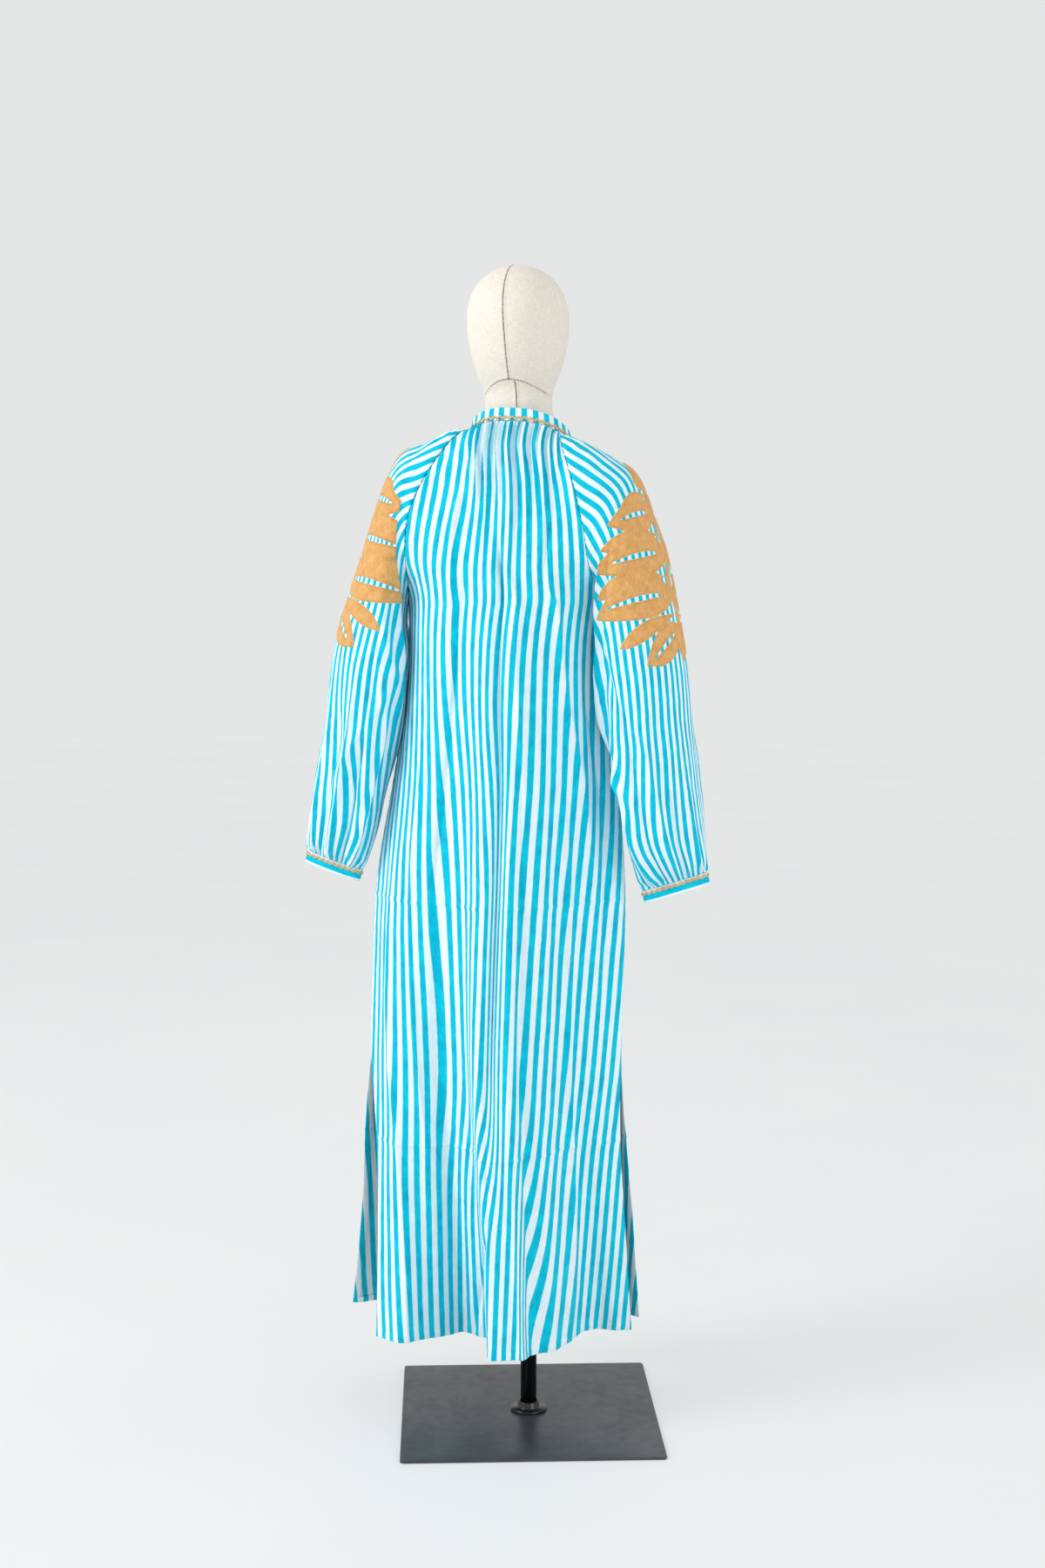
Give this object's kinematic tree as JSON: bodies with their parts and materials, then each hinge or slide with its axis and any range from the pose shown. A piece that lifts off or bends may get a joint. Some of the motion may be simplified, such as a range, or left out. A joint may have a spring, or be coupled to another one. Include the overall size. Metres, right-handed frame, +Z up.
{
  "type": "kaftan on a dress form",
  "caption": "Long vertically striped kaftan with gathered band collar, raglan sleeves, gathered cuffs and side slits, worn by a limbless dress form on a square stand.",
  "frame": {"origin": "middle of the stand plate's underside, on the floor", "axes": "+Z up, +Y towards the garment's front, +X towards the wearer's right side"},
  "size_m": [0.6136, 0.464, 1.698],
  "materials": {
    "striped_cotton": "plain weave cotton with cyan and white lengthwise stripes",
    "tan_trim": "matte braid and cut-out cloth",
    "linen_cover": "matte woven cover",
    "black_steel": "satin black"
  },
  "bodies": {
    "root": {"back_panel": "striped_cotton", "front_panel": "striped_cotton", "sleeve_left": "striped_cotton", "sleeve_right": "striped_cotton", "neckband": "striped_cotton", "cuff_left": "striped_cotton", "cuff_right": "striped_cotton", "ricrac_neck": "tan_trim", "ricrac_cuff_left": "tan_trim", "ricrac_cuff_right": "tan_trim", "applique_left": "tan_trim", "applique_right": "tan_trim", "form_torso": "linen_cover", "form_head": "linen_cover", "base_plate": "black_steel", "pole_flange": "black_steel", "pole": "black_steel"}
  },
  "joints": []
}
